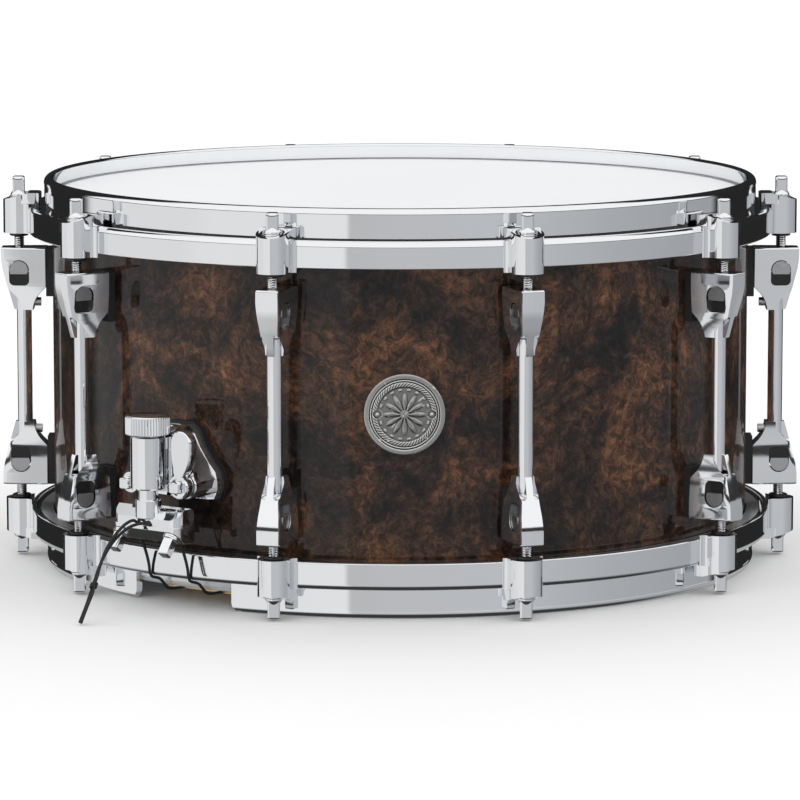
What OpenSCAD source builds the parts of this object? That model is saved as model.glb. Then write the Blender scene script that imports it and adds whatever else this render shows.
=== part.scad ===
// A 14 inch snare drum with double claw-held hoops, tube lugs and a throw-off strainer.
// +Z is up, the origin is under the centre of the lower rim, and -Y is the front, where the badge is.
// Most sub-parts are drawn in a station's own frame: x runs outward from the drum's axis,
// y runs along the shell to the right as seen from outside, and z is up.

/* [Shell] */
// Height over both rims
drum_h = 197.5; // [196:0.5:206]
// Outer diameter of the shell
shell_d = 355.6; // [354.6:0.1:356]
// Thickness of the shell's wall
shell_wall = 6; // [5:0.5:7]
// Depth of each bearing edge below its rim
edge_drop = 8.65; // [8:0.05:9]
// Thickness of a drum head's film
film_t = 0.35; // [0.2:0.05:0.4]

/* [Hoops] */
// Thickness of the hoops' steel
hoop_t = 2.6; // [2:0.1:2.6]
// Outer diameter of the hoop's upright collar
collar_d = 363.4; // [363:0.1:364]
// Outer diameter of the hoop's skirt
skirt_d = 379.6; // [379:0.1:380]
// Height from the rim to the ledge that the claws press on
collar_h = 14.9; // [14.5:0.1:15.5]
// Whole height of a hoop
hoop_h = 28.2; // [26:0.1:29]
// Width of the gates that the snares pass through
gate_w = 59; // [50:1:60]

/* [Lugs and rods] */
// Number of lugs round the shell
lug_count = 10; // [10:1:10]
// Distance of the tension rods from the drum's axis
rod_r = 195.3; // [195:0.1:195.6]
// Diameter of a tension rod
rod_d = 5.3; // [5:0.1:5.4]
// Width of a rod's square head across flats
head_w = 6; // [5:0.1:6.4]
// Outer diameter of a lug's tube
tube_d = 7.6; // [7:0.1:7.8]
// Height of one lug casting
lug_h = 32.3; // [31:0.1:33]
// Width of a lug casting at its widest
lug_w = 15.7; // [15:0.1:17]

/* [Strainer and butt] */
// Direction of the strainer round the shell, from the front
strainer_angle = -36; // [-36:1:-36]
// Distance of the strainer's adjusting screw from the drum's axis
screw_r = 206; // [205:0.5:207]
// Diameter of the tension knob
knob_d = 21.6; // [18:0.1:22]
// Diameter of the snare cords
cord_d = 1.5; // [1:0.1:1.6]
// Number of snare wires
wire_count = 20; // [12:2:20]

/* [Badge] */
// Diameter of the round badge
badge_d = 38.8; // [30:0.1:42]

/* [Hidden] */
$fn = 96;
mid_z = drum_h / 2;
shell_r = shell_d / 2;
shell_ri = shell_r - shell_wall;
edge_z = drum_h - edge_drop;
apex_r = shell_r - 2.2;
collar_r = collar_d / 2;
skirt_r = skirt_d / 2;
ledge_z = drum_h - collar_h;
skirt_z = drum_h - hoop_h;
rod_shaft_r = rod_d / 2;
rod_end_z = 141.5;
seat_z = 185;
washer_t = 1.2;
nut_z = 148.45;
nut_flat = nut_z - 2.1;
nut_r = 4.7;
lug_z1 = 160.05;
lug_z0 = lug_z1 - lug_h;
lug_back = shell_r + 3.5;
tube_r = 193.1;
tube_top = 136;
lug_screw_z = 151;
set_screw_z = 131.6;
fit_gap = 0.05;
gasket_t = 3;
base_back = shell_r + gasket_t;
lever_y = 17.5;
lever_z = 63;
bolt_r = 2;
knob_z = 87.2;
knob_h = 10;
stem_r = 4.75;
jaw_split_z = 43.6;
clamp_y = 15.3;
clamp_tilt = 53;
wire_r = 0.85;
wire_z = 7.05;
plate_end = 164;
badge_angle = 0.7;

// The cord from a clamp, round the bottom hoop and in to the snares' end plate: [x, z] in the station's frame.
cord_route = [
    [194.5, 30], [192.4, 25], [191, 20.5], [190.4, 17], [188.9, 14.6], [186, 13.6],
    [182.6, 12.4], [179.5, 9.7], [176.5, 7], [172, 6], [168, 5.8], [plate_end + 0.1, 5.6]
];
// The two loose ends of the strainer's cord, which leave the clamp's mouth and hang to the floor.
tail_a = [
    [209.4, -3, 44], [211.5, -5, 45.8], [216, -6, 44.5], [219, -6.8, 42.4], [222, -7.4, 40],
    [224.6, -7.8, 37.6], [227, -8, 35], [229.6, -8, 32], [232, -7.8, 28.6], [234.2, -7.4, 25.6],
    [236, -7, 22.6], [238.4, -6.9, 18.5], [240.4, -6.7, 14.4], [242.2, -6.6, 11.8],
    [244, -6.6, 9.3], [246.8, -6.5, 5.3], [249.6, -6.4, 1.2]
];
tail_b = [
    [209.4, 4, 44], [212, 0.5, 44.9], [215, -3.6, 43.4], [218, -6, 41], [220.6, -7.4, 38.6],
    [223.2, -8.4, 36], [225.8, -9.1, 33], [228.6, -9.4, 29.8], [231.2, -9.4, 26.6], [233.6, -9.1, 23.6],
    [235.8, -8.7, 20.6], [238.2, -8.4, 17], [240.4, -8.3, 13.4], [242, -8.2, 10.9],
    [243.6, -8.1, 8.4], [246, -8, 5], [248.6, -7.9, 1.2]
];
knot_at = [238.3, -7.6, 17.7];

function two_digits(n) = n < 10 ? str("0", n) : str(n);
function rod_names(side) = [for (i = [1:lug_count]) str("tension_rod_", side, "_", two_digits(i))];
function lug_angle(i) = -162 + 36 * i;

top_rods = rod_names("top");
bottom_rods = rod_names("bottom");

// ---- placing ----

// Puts its children at an angle round the drum, measured from the front towards +X.
module at_angle(angle) {
    rotate([0, 0, angle - 90]) children();
}

// Turns a drawing of the top half upside down into the bottom half.
module mirrored() {
    translate([0, 0, drum_h]) mirror([0, 0, 1]) children();
}

module both_ends() {
    children();
    mirrored() children();
}

module at_every_lug() {
    for (i = [0:lug_count - 1]) at_angle(lug_angle(i)) children();
}

// Extrudes an outline of [x, z] points along y, centred, to a width.
module along_y(width) {
    rotate([90, 0, 0]) linear_extrude(height = width, center = true) children();
}

// Extrudes an outline of [y, z] points along x, between two distances.
module along_x(from, to) {
    translate([from, 0, 0]) rotate([90, 0, 90]) linear_extrude(height = to - from) children();
}

// A rod along x at a place [y, z].
module radial_rod(r, from, to, y, z) {
    translate([from, y, z]) rotate([0, 90, 0]) cylinder(r = r, h = to - from, $fn = 48);
}

module upright_rod(r, x, z0, z1) {
    translate([x, 0, z0]) cylinder(r = r, h = z1 - z0, $fn = 48);
}

// ---- shapes that repeat ----

function arc(cx, cy, r, from, to, steps) =
    [for (k = [0:steps]) let (a = from + (to - from) * k / steps) [cx + r * cos(a), cy + r * sin(a)]];

function unit(v) = v / norm(v);

// The rings of a round tube along a route that never runs parallel to y.
function ring_at(route, i, r, sides) =
    let (
        before = route[max(i - 1, 0)],
        after = route[min(i + 1, len(route) - 1)],
        ahead = unit(after - before),
        out = unit(cross(ahead, [0, 1, 0])),
        side = cross(out, ahead)
    )
    [for (k = [0:sides - 1]) route[i] + r * (cos(360 * k / sides) * out + sin(360 * k / sides) * side)];

module swept_tube(route, d, sides = 8) {
    last = len(route) - 1;
    points = [for (i = [0:last]) each ring_at(route, i, d / 2, sides)];
    start_cap = [[for (k = [0:sides - 1]) sides - 1 - k]];
    end_cap = [[for (k = [0:sides - 1]) last * sides + k]];
    walls = [
        for (i = [0:last - 1], k = [0:sides - 1])
            let (a = i * sides + k, b = i * sides + (k + 1) % sides)
            each [[a, b, b + sides], [a, b + sides, a + sides]]
    ];
    polyhedron(points = points, faces = concat(start_cap, end_cap, walls));
}

// ---- shell, heads and badge ----

module shell() {
    inner_edge = apex_r - shell_ri;
    outer_drop = 2.95;
    color("#3a2418") difference() {
        rotate_extrude($fn = 180) polygon([
            [shell_ri, edge_drop + inner_edge],
            [apex_r, edge_drop],
            [shell_r, edge_drop + outer_drop],
            [shell_r, edge_z - outer_drop],
            [apex_r, edge_z],
            [shell_ri, edge_z - inner_edge]
        ]);
        both_ends() at_every_lug() radial_rod(bolt_r, shell_ri - 5, shell_r + 5, 0, lug_screw_z);
        at_angle(strainer_angle) strainer_bolt_holes();
        at_angle(strainer_angle + 180) butt_bolt_holes();
        at_angle(180) radial_rod(6.5, shell_ri - 5, shell_r + 5, 0, mid_z);
        at_angle(badge_angle) badge_pin_rods(shell_ri - 1, shell_r + 5);
    }
}

module badge_pin_rods(from, to) {
    for (side = [-1, 1]) radial_rod(0.9, from, to, side * 13, mid_z);
}

module badge() {
    color("#9a9a94") difference() {
        intersection() {
            difference() {
                cylinder(r = shell_r + 1.6, h = drum_h, $fn = 180);
                translate([0, 0, -1]) cylinder(r = shell_r, h = drum_h + 2, $fn = 180);
            }
            at_angle(badge_angle) radial_rod(badge_d / 2, shell_r - 5, shell_r + 5, 0, mid_z);
        }
        at_angle(badge_angle) badge_pin_rods(shell_r - 10, shell_r + 10);
    }
}

module badge_pins() {
    color("#8a8a84") at_angle(badge_angle) badge_pin_rods(shell_r - 4, shell_r + 2);
}

module air_vent() {
    color("silver") at_angle(180) difference() {
        union() {
            radial_rod(6.5, shell_ri - 1.5, shell_r + 1.4, 0, mid_z);
            radial_rod(9, shell_r + 0.3, shell_r + 1.4, 0, mid_z);
        }
        radial_rod(4.5, shell_ri - 5, shell_r + 5, 0, mid_z);
    }
}

// The film lies on the bearing edge and turns down outside it into the flesh hoop.
module head_film() {
    turn_r = shell_r + 0.8;
    rotate_extrude($fn = 180) polygon([
        [0, edge_z],
        [apex_r + 0.1, edge_z],
        [turn_r - film_t, edge_z - 3.45],
        [turn_r - film_t, edge_z - 9.8],
        [turn_r, edge_z - 9.8],
        [turn_r, edge_z - 3.35],
        [apex_r + 0.2, edge_z + film_t],
        [0, edge_z + film_t]
    ]);
}

// The head's own channel-shaped hoop, which sits under the drum hoop's ledge.
module head_hoop() {
    hoop_in = shell_r + 0.8;
    hoop_top = ledge_z - hoop_t;
    rotate_extrude($fn = 180) polygon([
        [hoop_in, hoop_top - 9.3],
        [hoop_in + 6.4, hoop_top - 9.3],
        [hoop_in + 6.4, hoop_top - 1.5],
        [hoop_in + 4.9, hoop_top],
        [hoop_in + 1.5, hoop_top],
        [hoop_in, hoop_top - 1.5]
    ]);
}

module batter_head_film() {
    color("whitesmoke") head_film();
}

module batter_head_hoop() {
    color("gainsboro") head_hoop();
}

module snare_head_film() {
    color("#e8ecee") mirrored() head_film();
}

module snare_head_hoop() {
    color("gainsboro") mirrored() head_hoop();
}

// ---- hoops and claws ----

// Rim, upright collar, ledge and skirt in one folded steel section, with a flat land round the rim's end.
module hoop_ring() {
    collar_in = collar_r - hoop_t;
    corner = 3;
    rim_in = collar_in - 1.8;
    rotate_extrude($fn = 180) polygon(concat(
        [[collar_in, ledge_z - hoop_t], [collar_in, drum_h - 4.3], [rim_in, drum_h - 2.6]],
        arc(rim_in + 1.3, drum_h - 1.3, 1.3, 180, 90, 4),
        arc(collar_r - 1.5, drum_h - 1.5, 1.5, 90, 0, 4),
        [[collar_r, ledge_z]],
        arc(skirt_r - corner, ledge_z - corner, corner, 90, 0, 6),
        [[skirt_r, skirt_z], [skirt_r - hoop_t, skirt_z], [skirt_r - hoop_t, ledge_z - hoop_t]]
    ));
}

module top_hoop() {
    color("silver") hoop_ring();
}

// A gate in the collar, whose lower corners are rounded off into the rim.
module snare_gate() {
    half = gate_w / 2;
    gate_top = collar_h - 0.9;
    round_r = 5;
    along_x(collar_r - 12, collar_r + 3) polygon(concat(
        [[-half, gate_top], [-half, round_r]],
        arc(-half - round_r, round_r, round_r, 0, -90, 5),
        [[-half - round_r, -1], [half + round_r, -1]],
        arc(half + round_r, round_r, round_r, 270, 180, 5),
        [[half, gate_top]]
    ));
}

module bottom_hoop() {
    color("silver") difference() {
        mirrored() hoop_ring();
        at_angle(strainer_angle) snare_gate();
        at_angle(strainer_angle + 180) snare_gate();
    }
}

// A claw: a barrel outside the skirt for the rod, and a nose that bears on the ledge.
module claw() {
    barrel_r = 8;
    claw_z = 167.4;
    nose_in = 184;
    difference() {
        intersection() {
            along_y(24) polygon([
                [nose_in, ledge_z], [nose_in, 186.8], [nose_in + 1.6, 188.2], [190, 188.2],
                [rod_r + barrel_r, 184.3], [rod_r + barrel_r, claw_z + 0.8], [rod_r + barrel_r - 0.8, claw_z],
                [skirt_r - 3, claw_z], [skirt_r - 3, ledge_z]
            ]);
            union() {
                upright_rod(barrel_r, rod_r, claw_z, 190);
                translate([nose_in, -8.5, ledge_z]) cube([rod_r - nose_in - 2, 17, 8]);
                translate([skirt_r - 3, -barrel_r, claw_z]) cube([rod_r - skirt_r + 3, 2 * barrel_r, 16]);
                translate([skirt_r - 3, -10.4, claw_z + 1.6]) cube([4.8, 20.8, 12.5]);
            }
        }
        upright_rod(3, rod_r, claw_z - 1, 190);
        upright_rod(5.4, rod_r, seat_z, 195);
    }
}

module hoop_claws() {
    color("lightgray") difference() {
        both_ends() at_every_lug() claw();
        both_ends() translate([0, 0, skirt_z - 9]) cylinder(r = skirt_r, h = ledge_z - skirt_z + 9, $fn = 180);
    }
}

module rod_washers() {
    color("silver") both_ends() at_every_lug() difference() {
        upright_rod(4.8, rod_r, seat_z, seat_z + washer_t);
        upright_rod(2.9, rod_r, seat_z - 1, seat_z + washer_t + 1);
    }
}

module claw_collars() {
    color("#1c1c1e") both_ends() at_every_lug() difference() {
        upright_rod(4.9, rod_r, 165.7, 167.4);
        upright_rod(2.9, rod_r, 165, 168);
    }
}

// ---- tension rods and lugs ----

module tension_rod(angle) {
    flange_z = seat_z + washer_t + fit_gap;
    color("silver") {
        upright_rod(rod_shaft_r, rod_r, rod_end_z, flange_z);
        upright_rod(4.2, rod_r, flange_z, flange_z + 1);
        translate([rod_r, 0, flange_z + 1]) cylinder(r1 = 4.2, r2 = 2.9, h = 2.2, $fn = 48);
        translate([rod_r, 0, 189.3]) rotate([0, 0, -angle]) translate([-head_w / 2, -head_w / 2, 0])
            cube([head_w, head_w, 7]);
    }
}

// One half of a lug: a flared casting with a foot on the shell, a window for the swivel nut and a tube socket.
module lug_casting() {
    half = lug_w / 2;
    difference() {
        intersection() {
            along_y(lug_w + 2) polygon(concat(
                [[lug_back, lug_z1], [lug_back, 139.6]],
                arc(181.2, 129.2, 6.9, 62, 8, 5),
                [[188.1, lug_z0], [198, lug_z0], [198.6, 129.6], [201.5, 140.2], [203.9, 149.5], [204.4, 154]],
                arc(202.9, lug_z1 - 1.5, 1.5, 0, 90, 3)
            ));
            along_x(lug_back - 1, 206) polygon([
                [-7.2, lug_z1], [-half, 153.5], [-7.4, 146], [-5.2, lug_z0],
                [5.2, lug_z0], [7.4, 146], [half, 153.5], [7.2, lug_z1]
            ]);
        }
        along_y(lug_w + 4) nut_window();
        upright_rod(3.1, rod_r, nut_z, lug_z1 + 1);
        upright_rod(tube_d / 2, tube_r, lug_z0 - 1, tube_top);
        radial_rod(bolt_r, lug_back - 1, 187.5, 0, lug_screw_z);
        radial_rod(2.5, lug_back - 1, 187.6, 0, set_screw_z);
        radial_rod(1.4, lug_back - 1, 190, 0, set_screw_z);
    }
}

// The window's outline: a round top that the swivel nut pulls up into, and small lower corners.
module nut_window() {
    half = 5.15;
    corner = 2.4;
    low = 140.4;
    polygon(concat(
        arc(rod_r - 0.2, 148.45, half, 0, 180, 10),
        arc(rod_r - 0.2 - half + corner, low + corner, corner, 180, 270, 4),
        arc(rod_r - 0.2 + half - corner, low + corner, corner, 270, 360, 4)
    ));
}

module lug_castings() {
    color("lightgray") both_ends() at_every_lug() lug_casting();
}

module lug_tubes() {
    color("silver") at_every_lug() difference() {
        upright_rod(tube_d / 2, tube_r, drum_h - tube_top, tube_top);
        upright_rod(tube_d / 2 - 1, tube_r, drum_h - tube_top - 1, tube_top + 1);
    }
}

module lug_gaskets() {
    color("#1c1c1e") difference() {
        both_ends() at_every_lug() difference() {
            translate([shell_r - 1, -6.9, 135]) cube([lug_back - shell_r + 1, 13.8, 24.8]);
            radial_rod(bolt_r, shell_r - 5, lug_back + 1, 0, lug_screw_z);
        }
        cylinder(r = shell_r, h = drum_h, $fn = 180);
    }
}

// A short round bar across the lug with a flat on the side away from the hoop, tapped for the rod.
module swivel_nuts() {
    color("darkgray") both_ends() at_every_lug() difference() {
        intersection() {
            translate([rod_r, 0, nut_z]) rotate([90, 0, 0]) cylinder(r = nut_r, h = 12.6, center = true, $fn = 48);
            translate([rod_r - 8, -10, nut_flat]) cube([16, 20, 10]);
        }
        upright_rod(rod_shaft_r + fit_gap, rod_r, 140, 160);
    }
}

// Black plastic blocks below the nuts, which keep them from rattling and close the windows behind.
module nut_inserts() {
    color("#161616") both_ends() at_every_lug() difference() {
        intersection() {
            along_y(9) nut_window();
            translate([rod_r - 8, -10, 130]) cube([16, 20, nut_flat - 0.05 - 130]);
        }
        upright_rod(rod_shaft_r + fit_gap, rod_r, 140, 160);
    }
}

// Screws from inside the shell into the lug castings.
module lug_screws() {
    color("gray") both_ends() at_every_lug() union() {
        radial_rod(bolt_r, shell_ri - 1, 187.5, 0, lug_screw_z);
        radial_rod(4, shell_ri - 2.5, shell_ri - fit_gap, 0, lug_screw_z);
    }
}

// Small screws that hold the tube in each casting.
module tube_set_screws() {
    color("gray") both_ends() at_every_lug() union() {
        radial_rod(1.4, 186, 189.3, 0, set_screw_z);
        radial_rod(2.2, 184.4, 187.6, 0, set_screw_z);
    }
}

// ---- strainer ----

strainer_bolts = [[-15.5, 62], [lever_y, lever_z]];

// How far out a nut 8 mm across can lie at a place y before it meets the shell's curved inner face.
function nut_face(y) = sqrt(shell_ri * shell_ri - (abs(y) + 4) * (abs(y) + 4)) - 0.15;

module strainer_bolt_holes() {
    for (p = strainer_bolts) radial_rod(bolt_r, shell_ri - 5, shell_r + 8, p[0], p[1]);
}

// The strainer's footprint on the shell, drawn in by an inset all round.
module strainer_outline(inset) {
    polygon([
        [-21 + inset, 57 + inset], [-21 + inset, 67 - inset], [-16, 71 - inset], [-9.5 + inset, 75],
        [-9.5 + inset, 89 - inset], [-7, 91 - inset], [9, 91 - inset], [13 - inset, 88], [17 - inset, 80],
        [27 - inset, 68], [27 - inset, 60], [23, 54 + inset], [-17, 54 + inset]
    ]);
}

module strainer_gasket() {
    color("#1c1c1e") difference() {
        along_x(shell_r - 2, base_back) strainer_outline(0);
        cylinder(r = shell_r, h = drum_h, $fn = 180);
        strainer_bolt_holes();
    }
}

module strainer_base() {
    plate_front = base_back + 4;
    color("lightgray") difference() {
        union() {
            along_x(base_back, plate_front) strainer_outline(0.8);
            along_y(16) polygon([
                [plate_front, 57], [197.1, 57], [197.1, 79.5], [195.3, 80.5], [195.3, 88], [193.6, 90], [plate_front, 90]
            ]);
            along_x(plate_front, 193) polygon([[7, 58], [20, 58], [24, 66], [15, 78], [10.5, 87], [7, 87]]);
            radial_rod(6.5, plate_front, 199.6, lever_y, lever_z);
            radial_rod(5, plate_front, 201, strainer_bolts[0][0], strainer_bolts[0][1]);
        }
        translate([189, -4.2, 50]) cube([12, 8.4, 45]);
        for (p = strainer_bolts) radial_rod(bolt_r, base_back - 1, 205, p[0], p[1]);
    }
}

// Two bolts through the base and the shell, with nuts inside. The right one is also the lever's pivot.
module strainer_base_bolts() {
    head_at = [201, 203.5];
    color("silver") for (i = [0:1]) {
        p = strainer_bolts[i];
        union() {
            radial_rod(bolt_r, shell_ri - 5.2, head_at[i] + 0.5, p[0], p[1]);
            translate([head_at[i], p[0] - 2.75, p[1] - 2.75]) cube([5, 5.5, 5.5]);
            radial_rod(4, nut_face(p[0]) - 3.4, nut_face(p[0]), p[0], p[1]);
        }
    }
}

// A paddle on a hub that turns on the right-hand bolt.
module throwoff_lever() {
    lever_back = 199.9;
    lever_front = 205.4;
    tip = [19.2, 82.6];
    tip_r = 6;
    color("silver") difference() {
        union() {
            radial_rod(5.9, lever_back, lever_front, lever_y, lever_z);
            radial_rod(tip_r, lever_back + 1.5, lever_front, tip[0], tip[1]);
            along_x(lever_back + 1.5, lever_front) polygon([
                [lever_y - 3, lever_z], [lever_y + 3.6, lever_z], [tip[0] + 5.6, tip[1] - 5],
                [tip[0] + tip_r, tip[1]], [tip[0] - tip_r, tip[1]], [tip[0] - 4.8, tip[1] - 6]
            ]);
        }
        radial_rod(bolt_r + fit_gap, lever_back - 1, lever_front + 1, lever_y, lever_z);
        radial_rod(4.3, 203.2, lever_front + 1, lever_y, lever_z);
    }
}

// The moving cylinder, with a rib that slides in the base.
module strainer_carriage() {
    color("silver") difference() {
        union() {
            upright_rod(8.5, screw_r, 61.2, 86.9);
            translate([189.4, -3.9, 62]) cube([10, 7.8, 23]);
        }
        upright_rod(stem_r + fit_gap, screw_r, 60, 80);
        upright_rod(2.6, screw_r, 79, 88);
    }
}

module tension_knob() {
    color("silver") {
        upright_rod(knob_d / 2, screw_r, knob_z, knob_z + knob_h - 1);
        translate([screw_r, 0, knob_z + knob_h - 1]) cylinder(r1 = knob_d / 2, r2 = knob_d / 2 - 1.6, h = 1);
        upright_rod(2.5, screw_r, 66, knob_z + 1);
    }
}

// The stem that the knob's screw lifts, and the boss that carries the clamp.
module clamp_stem() {
    color("silver") difference() {
        union() {
            upright_rod(stem_r, screw_r, 55, 76);
            upright_rod(6.3, screw_r, 47, 56);
        }
        upright_rod(2.5 + fit_gap, screw_r, 62, 77);
    }
}

// Draws along the axis of a clamp bolt: z runs inward and up, from the lower jaw's slanted face.
module on_clamp_bolt(side) {
    translate([207.2, side * clamp_y, 39]) rotate([0, clamp_tilt - 90, 0]) children();
}

module clamp_bolt_holes() {
    for (side = [-1, 1]) on_clamp_bolt(side) translate([0, 0, -1]) cylinder(r = 1.8, h = 10, $fn = 32);
}

module clamp_upper_jaw() {
    color("whitesmoke") difference() {
        along_y(40) polygon([
            [196, jaw_split_z], [196, 50.5], [198, 52], [203.5, 52], [209.2, 47.2], [209.2, jaw_split_z]
        ]);
        upright_rod(6.3, screw_r, 47, 60);
        clamp_bolt_holes();
    }
}

module clamp_lower_jaw() {
    color("whitesmoke") difference() {
        along_y(40) polygon([
            [195.5, 35.5], [195.5, jaw_split_z], [209.4, jaw_split_z], [209.6, 41.6], [203.6, 35.5]
        ]);
        clamp_bolt_holes();
    }
}

module clamp_bolts() {
    color("silver") for (side = [-1, 1]) on_clamp_bolt(side) union() {
        translate([0, 0, -1]) cylinder(r = 1.8, h = 9.5, $fn = 32);
        translate([0, 0, -1.8]) cylinder(r = 4.1, h = 1, $fn = 32);
        translate([-2.75, -2.75, -10.5]) cube([5.5, 5.5, 9]);
    }
}

module cord_pair(top) {
    for (side = [-1, 1]) {
        route = [for (p = concat([top], cord_route)) [p[0], side * 12, p[1]]];
        swept_tube(route, cord_d);
    }
}

module strainer_cord() {
    color("#161616") cord_pair([197, 35.1]);
}

module cord_tail() {
    color("#161616") union() {
        swept_tube(tail_a, cord_d);
        swept_tube(tail_b, cord_d);
        translate(knot_at) sphere(r = 2.1, $fn = 24);
    }
}

// ---- butt ----

butt_bolt_places = [[-10, 62], [10, 62]];

module butt_bolt_holes() {
    for (p = butt_bolt_places) radial_rod(bolt_r, shell_ri - 5, shell_r + 8, p[0], p[1]);
}

module butt_gasket() {
    color("#1c1c1e") difference() {
        translate([shell_r - 2, -18, 40]) cube([gasket_t + 2, 36, 30]);
        cylinder(r = shell_r, h = drum_h, $fn = 180);
        butt_bolt_holes();
    }
}

module butt_base() {
    color("lightgray") difference() {
        along_y(34) polygon([
            [base_back, 41], [base_back, 69], [base_back + 4, 69], [base_back + 5, 56],
            [198, 50], [198, 40], [base_back + 5, 40]
        ]);
        for (p = butt_bolt_places) {
            radial_rod(bolt_r, base_back - 1, 200, p[0], p[1]);
            radial_rod(4.6, base_back + 3, 210, p[0], p[1]);
        }
        for (side = [-1, 1]) translate([193, side * 6, 38]) cylinder(r = 1.8, h = 9, $fn = 32);
    }
}

module butt_clamp() {
    color("whitesmoke") difference() {
        translate([base_back + 5, -18, 34]) cube([13, 36, 6]);
        for (side = [-1, 1]) translate([193, side * 6, 33]) cylinder(r = 1.8, h = 9, $fn = 32);
    }
}

module butt_bolts() {
    color("silver") {
        for (p = butt_bolt_places) union() {
            radial_rod(bolt_r, shell_ri - 4, base_back + 4, p[0], p[1]);
            radial_rod(3.8, base_back + 3, base_back + 6, p[0], p[1]);
            radial_rod(4, nut_face(p[0]) - 3.4, nut_face(p[0]), p[0], p[1]);
        }
        for (side = [-1, 1]) translate([193, side * 6, 0]) union() {
            translate([0, 0, 31]) cylinder(r = 1.8, h = 15, $fn = 32);
            translate([-2.75, -2.75, 28]) cube([5.5, 5.5, 6]);
        }
    }
}

module butt_cord() {
    color("#161616") cord_pair([197, 33.5]);
}

// ---- snares ----

module snare_wires() {
    pitch = 2.05;
    color("silver") at_angle(strainer_angle) for (i = [0:wire_count - 1])
        translate([-160, (i - (wire_count - 1) / 2) * pitch, wire_z])
            rotate([0, 90, 0]) cylinder(r = wire_r, h = 320, $fn = 24);
}

module snare_end_plates() {
    plate_t = 1.2;
    color("peru") at_angle(strainer_angle) for (side = [0, 180])
        rotate([0, 0, side]) translate([150, -22, wire_z - wire_r - plate_t]) cube([plate_end - 150, 44, plate_t]);
}

// ---- choosing what to draw ----

shell();
badge();
badge_pins();
air_vent();
batter_head_film();
batter_head_hoop();
snare_head_film();
snare_head_hoop();
top_hoop();
bottom_hoop();
hoop_claws();
rod_washers();
claw_collars();
lug_castings();
lug_tubes();
lug_gaskets();
swivel_nuts();
nut_inserts();
lug_screws();
tube_set_screws();
at_angle(strainer_angle) strainer_base();
at_angle(strainer_angle) strainer_gasket();
at_angle(strainer_angle) strainer_base_bolts();
at_angle(strainer_angle) throwoff_lever();
at_angle(strainer_angle) strainer_carriage();
at_angle(strainer_angle) tension_knob();
at_angle(strainer_angle) clamp_stem();
at_angle(strainer_angle) clamp_upper_jaw();
at_angle(strainer_angle) clamp_lower_jaw();
at_angle(strainer_angle) clamp_bolts();
at_angle(strainer_angle) strainer_cord();
at_angle(strainer_angle) cord_tail();
at_angle(strainer_angle + 180) butt_base();
at_angle(strainer_angle + 180) butt_gasket();
at_angle(strainer_angle + 180) butt_clamp();
at_angle(strainer_angle + 180) butt_bolts();
at_angle(strainer_angle + 180) butt_cord();
snare_wires();
snare_end_plates();
for (i = [0:lug_count - 1]) {
    at_angle(lug_angle(i)) tension_rod(lug_angle(i));
    mirrored() at_angle(lug_angle(i)) tension_rod(lug_angle(i));
}
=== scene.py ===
"""Looks for a snare drum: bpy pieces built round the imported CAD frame.

Shapes are made in millimetres in a station's own frame (x outward from the drum's axis, y along the
shell to the right as seen from outside, z up) and turned into objects in metres in the CAD's frame.
"""

import math

import bmesh
import bpy
import numpy as np
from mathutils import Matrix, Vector


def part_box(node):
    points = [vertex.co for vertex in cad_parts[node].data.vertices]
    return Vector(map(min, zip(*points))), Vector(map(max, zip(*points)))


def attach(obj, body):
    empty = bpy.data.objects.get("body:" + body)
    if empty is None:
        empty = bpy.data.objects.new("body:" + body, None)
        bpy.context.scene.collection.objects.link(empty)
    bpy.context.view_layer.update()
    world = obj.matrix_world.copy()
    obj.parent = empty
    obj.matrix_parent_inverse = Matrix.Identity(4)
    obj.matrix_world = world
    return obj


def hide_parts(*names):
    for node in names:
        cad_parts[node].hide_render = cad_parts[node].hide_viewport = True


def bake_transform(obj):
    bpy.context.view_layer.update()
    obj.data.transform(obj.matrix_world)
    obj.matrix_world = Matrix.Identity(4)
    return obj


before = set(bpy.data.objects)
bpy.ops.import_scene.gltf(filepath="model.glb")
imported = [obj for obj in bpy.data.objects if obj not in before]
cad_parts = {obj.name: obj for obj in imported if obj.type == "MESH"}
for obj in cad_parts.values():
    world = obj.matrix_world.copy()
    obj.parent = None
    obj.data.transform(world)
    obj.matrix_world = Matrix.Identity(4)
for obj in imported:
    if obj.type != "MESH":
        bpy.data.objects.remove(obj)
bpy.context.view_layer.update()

MM = 0.001


def top_of(node):
    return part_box(node)[1].z / MM


def bottom_of(node):
    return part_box(node)[0].z / MM


# ---- driving sizes, in millimetres ----

DRUM_H = top_of("top_hoop")
MID_Z = DRUM_H / 2
SHELL_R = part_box("shell")[1].x / MM
SHELL_WALL = 6
EDGE_Z = top_of("shell")
APEX_R = SHELL_R - 2.2
FILM_T = 0.35
HOOP_T = 2.6
COLLAR_R = 181.7
SKIRT_R = 189.8
LEDGE_Z = DRUM_H - 14.9
SKIRT_Z = bottom_of("top_hoop")
ROD_R = 195.3
TUBE_R = 193.1
LUG_BACK = SHELL_R + 3.5
LUG_ANGLES = [-162 + 36 * i for i in range(10)]
STRAINER = -36
BUTT = 144
SCREW_R = 206
LEVER_Y = 17.5
LEVER_Z = 63
EAR_Y = -15.5
EAR_Z = 62
BOLT_FLAT = 5.5
BADGE_ANGLE = 0.7


# ---- shapes: (points, faces) with numpy points in millimetres ----


def arc(cx, cy, r, start, end, steps):
    """Points on an arc, angles in degrees, ends included."""
    return [
        (cx + r * math.cos(math.radians(a)), cy + r * math.sin(math.radians(a)))
        for a in np.linspace(start, end, steps + 1)
    ]


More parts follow.
